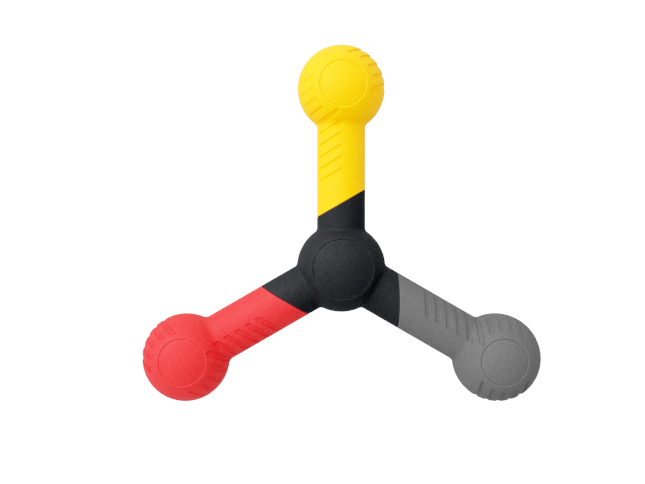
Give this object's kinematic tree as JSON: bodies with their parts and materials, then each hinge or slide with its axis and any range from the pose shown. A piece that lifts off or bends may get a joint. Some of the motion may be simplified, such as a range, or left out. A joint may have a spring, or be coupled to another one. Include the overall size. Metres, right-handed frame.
{
  "type": "three-armed throwing toy",
  "caption": "Soft rubber-skinned throwing toy with equal arms set evenly round a black hub, each ending in a grooved ball.",
  "frame": {"origin": "centre of the hub, half way through its thickness, which is also the centre of mass", "axes": "+Z out of the front face, +Y along the yellow arm; the red arm is 120 degrees and the grey arm 240 degrees anticlockwise from it, seen from the front"},
  "size_m": [0.2, 0.1791, 0.0424],
  "materials": {
    "yellow_rubber": "matte, fine grain",
    "red_rubber": "matte, fine grain",
    "grey_rubber": "matte, fine grain",
    "black_rubber": "matte, fine grain",
    "core_plastic": "moulded",
    "screw_steel": "zinc plated"
  },
  "bodies": {
    "root": {"yellow_sleeve": "yellow_rubber", "yellow_core_front": "core_plastic", "yellow_core_back": "core_plastic", "yellow_core_screw": "screw_steel", "yellow_front_disc": "yellow_rubber", "yellow_back_disc": "yellow_rubber", "red_sleeve": "red_rubber", "red_core_front": "core_plastic", "red_core_back": "core_plastic", "red_core_screw": "screw_steel", "red_front_disc": "red_rubber", "red_back_disc": "red_rubber", "grey_sleeve": "grey_rubber", "grey_core_front": "core_plastic", "grey_core_back": "core_plastic", "grey_core_screw": "screw_steel", "grey_front_disc": "grey_rubber", "grey_back_disc": "grey_rubber", "hub_cover_front": "black_rubber", "hub_cover_back": "black_rubber", "hub_core_front": "core_plastic", "hub_core_back": "core_plastic", "hub_screws": "screw_steel", "hub_front_disc": "black_rubber", "hub_back_disc": "black_rubber"}
  },
  "joints": []
}
